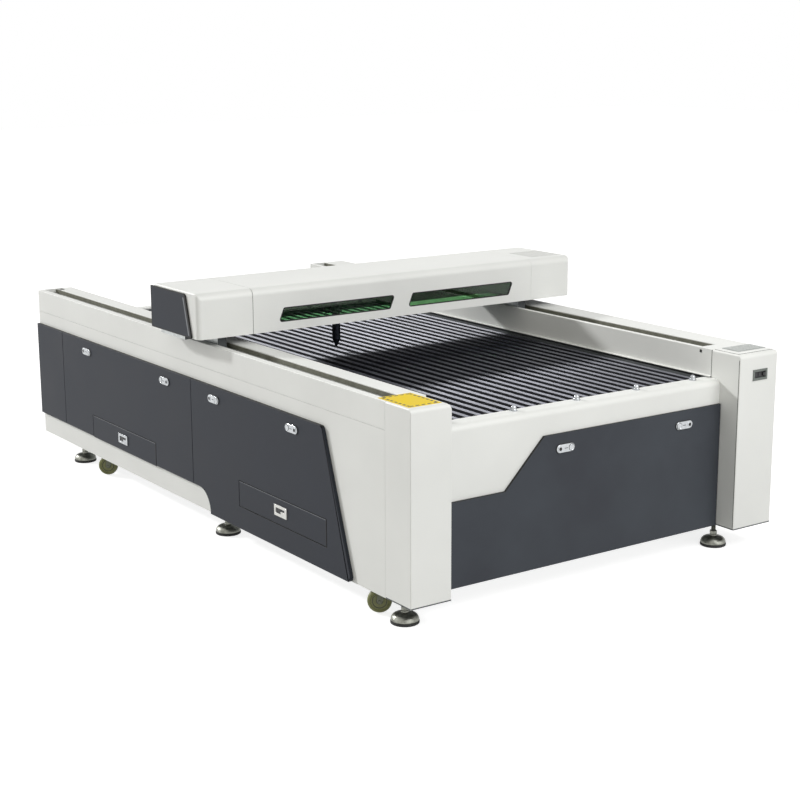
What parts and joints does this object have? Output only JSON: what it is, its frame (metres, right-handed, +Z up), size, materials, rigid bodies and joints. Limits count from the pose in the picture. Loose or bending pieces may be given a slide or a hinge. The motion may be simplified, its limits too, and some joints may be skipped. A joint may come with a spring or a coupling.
{
  "type": "flatbed carbon dioxide laser cutting machine",
  "caption": "Flatbed laser cutter: sheet-clad steel frame, blade slat bed, and a covered gantry that runs along the side beams with a cutting head.",
  "frame": {"origin": "on the floor under the middle of the body and of its gantry's reach", "axes": "+X across the machine to its right as seen from the front, +Y along the machine from the front columns to the rear, +Z up"},
  "size_m": [2.084, 3.387, 1.094],
  "materials": {
    "white_enamel": "white enamel, satin",
    "dark_enamel": "dark grey enamel, satin",
    "frame_paint": "grey primer, matt",
    "slat_aluminium": "dark anodised blades",
    "bright_steel": "ground steel",
    "chrome": "bright chrome",
    "black_rubber": "black, toothed",
    "black_housing": "black, fine grained",
    "grey_plastic": "grey, matt",
    "white_plastic": "white, gloss",
    "yellow_plate": "yellow enamel, gloss",
    "green_window": "green tinted sheet",
    "tube_glass": "clear glass",
    "wheel_tyre": "olive polyurethane",
    "zinc": "zinc plated",
    "blued_steel": "dark blued",
    "cast_foot": "black, oiled"
  },
  "bodies": {
    "machine": {"sills": "frame_paint", "cross_tubes": "frame_paint", "posts": "frame_paint", "rail_beams": "frame_paint", "table_bearers": "frame_paint", "floor_pan": "zinc", "left_beam_cover": "white_enamel", "right_beam_cover": "white_enamel", "left_inner_cover": "white_enamel", "right_inner_cover": "white_enamel", "side_sheets": "white_enamel", "left_column_cover": "white_enamel", "right_column_cover": "white_enamel", "rear_end_plates": "white_enamel", "front_fascia": "white_enamel", "rear_fascia": "white_enamel", "front_panel": "dark_enamel", "left_side_panels": "dark_enamel", "right_side_panels": "dark_enamel", "table_frame": "frame_paint", "blade_slats": "slat_aluminium", "feed_ball_units": "bright_steel", "panel_latches": "chrome", "keypad": "grey_plastic", "caution_plate": "yellow_plate", "port_frame": "black_housing", "exhaust_spigots": "zinc", "power_inlet": "black_housing", "y_rails": "bright_steel", "y_belts": "black_rubber", "y_drive_mounts": "black_housing", "levelling_feet": "cast_foot"},
    "gantry": {"gantry_carriages": "zinc", "gantry_beam": "frame_paint", "gantry_cover": "white_enamel", "gantry_end_covers": "white_enamel", "gantry_end_caps": "dark_enamel", "cover_windows": "green_window", "laser_tube": "tube_glass", "x_rail": "bright_steel", "x_belt": "black_rubber", "x_motor": "black_housing"},
    "head": {"head_carriage": "frame_paint"},
    "lens": {"lens_tube": "blued_steel"},
    "x_drive": {"x_drive_pulley": "bright_steel"},
    "x_idler": {"x_idler_pulley": "bright_steel"},
    "y_drive": {"y_drive_pulleys": "bright_steel"},
    "y_idler": {"y_idler_pulleys": "bright_steel"},
    "front_drawer": {"front_drawer": "dark_enamel", "front_drawer_pull": "white_plastic"},
    "rear_drawer": {"rear_drawer": "dark_enamel", "rear_drawer_pull": "white_plastic"},
    "front_left_fork": {"front_left_caster_fork": "zinc"},
    "front_left_wheel": {"front_left_caster_wheel": "wheel_tyre"},
    "front_right_fork": {"front_right_caster_fork": "zinc"},
    "front_right_wheel": {"front_right_caster_wheel": "wheel_tyre"},
    "rear_left_fork": {"rear_left_caster_fork": "zinc"},
    "rear_left_wheel": {"rear_left_caster_wheel": "wheel_tyre"},
    "rear_right_fork": {"rear_right_caster_fork": "zinc"},
    "rear_right_wheel": {"rear_right_caster_wheel": "wheel_tyre"}
  },
  "joints": [
    {"name": "gantry_slide", "type": "slide", "parent": "machine", "child": "gantry", "axis": [0, 1, 0], "range_m": [-1.25, 1.38]},
    {"name": "head_slide", "type": "slide", "parent": "gantry", "child": "head", "axis": [1, 0, 0], "range_m": [-0.45, 0.85]},
    {"name": "lens_focus_slide", "type": "slide", "parent": "head", "child": "lens", "axis": [0, 0, 1], "range_m": [-0.015, 0.035]},
    {"name": "y_drive_turn", "type": "hinge", "parent": "machine", "child": "y_drive", "pos_m": [-0.8605, 1.598, 0.803], "axis": [1, 0, 0], "range_deg": [-4166, 3774]},
    {"name": "y_idler_turn", "type": "hinge", "parent": "machine", "child": "y_idler", "pos_m": [-0.8605, -1.572, 0.803], "axis": [1, 0, 0], "range_deg": [-4166, 3774]},
    {"name": "x_drive_turn", "type": "hinge", "parent": "gantry", "child": "x_drive", "pos_m": [0.98, -0.015, 1.0195], "axis": [0, 1, 0], "range_deg": [-4240, 2247]},
    {"name": "x_idler_turn", "type": "hinge", "parent": "gantry", "child": "x_idler", "pos_m": [-0.98, -0.015, 1.0195], "axis": [0, 1, 0], "range_deg": [-4240, 2247]},
    {"name": "front_drawer_slide", "type": "slide", "parent": "machine", "child": "front_drawer", "axis": [-1, 0, 0], "range_m": [0, 0.5]},
    {"name": "rear_drawer_slide", "type": "slide", "parent": "machine", "child": "rear_drawer", "axis": [-1, 0, 0], "range_m": [0, 0.5]},
    {"name": "front_left_swivel", "type": "hinge", "parent": "machine", "child": "front_left_fork", "pos_m": [-0.882, -1.427, 0.12], "axis": [0, 0, 1], "continuous": true},
    {"name": "front_left_roll", "type": "hinge", "parent": "front_left_fork", "child": "front_left_wheel", "pos_m": [-0.90002, -1.41438, 0.049], "axis": [0.5736, 0.8192, 0], "continuous": true},
    {"name": "front_right_swivel", "type": "hinge", "parent": "machine", "child": "front_right_fork", "pos_m": [0.78, -1.052, 0.12], "axis": [0, 0, 1], "continuous": true},
    {"name": "front_right_roll", "type": "hinge", "parent": "front_right_fork", "child": "front_right_wheel", "pos_m": [0.76198, -1.03938, 0.049], "axis": [0.5736, 0.8192, 0], "continuous": true},
    {"name": "rear_left_swivel", "type": "hinge", "parent": "machine", "child": "rear_left_fork", "pos_m": [-0.882, 1.006, 0.12], "axis": [0, 0, 1], "continuous": true},
    {"name": "rear_left_roll", "type": "hinge", "parent": "rear_left_fork", "child": "rear_left_wheel", "pos_m": [-0.90002, 1.01862, 0.049], "axis": [0.5736, 0.8192, 0], "continuous": true},
    {"name": "rear_right_swivel", "type": "hinge", "parent": "machine", "child": "rear_right_fork", "pos_m": [0.78, 1.006, 0.12], "axis": [0, 0, 1], "continuous": true},
    {"name": "rear_right_roll", "type": "hinge", "parent": "rear_right_fork", "child": "rear_right_wheel", "pos_m": [0.76198, 1.01862, 0.049], "axis": [0.5736, 0.8192, 0], "continuous": true}
  ],
  "couplings": [
    {"joint": "y_drive_turn", "follows": "gantry_slide", "rad_per_m": -52.632},
    {"joint": "y_idler_turn", "follows": "gantry_slide", "rad_per_m": -52.632},
    {"joint": "x_drive_turn", "follows": "head_slide", "rad_per_m": -86.957},
    {"joint": "x_idler_turn", "follows": "head_slide", "rad_per_m": -86.957}
  ]
}
